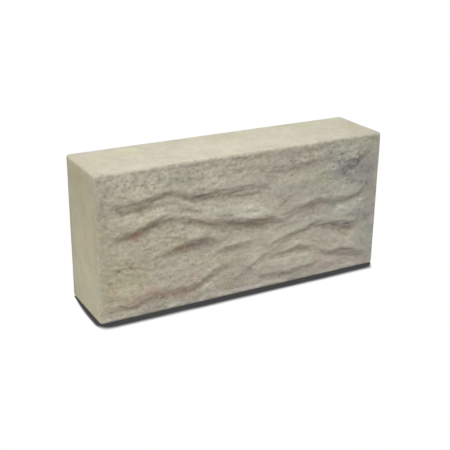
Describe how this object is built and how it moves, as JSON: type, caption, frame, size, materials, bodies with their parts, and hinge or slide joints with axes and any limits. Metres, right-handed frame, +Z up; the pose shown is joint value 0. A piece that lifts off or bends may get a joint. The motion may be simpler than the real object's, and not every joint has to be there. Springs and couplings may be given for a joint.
{
  "type": "concrete walling block",
  "caption": "Solid rectangular concrete walling block, with plain top, bed, back and ends and a front face rippled like riven rock.",
  "frame": {"origin": "centre of the bed face, on the level the block stands on", "axes": "+X along the block to the right as the rippled front is faced, +Y from the rippled front to the plain back, +Z up"},
  "size_m": [0.3, 0.0747, 0.14],
  "materials": {
    "concrete": "matt cast concrete, fine grained, buff grey with faint pink and yellow blushes on the front"
  },
  "bodies": {
    "root": {"block": "concrete"}
  },
  "joints": []
}
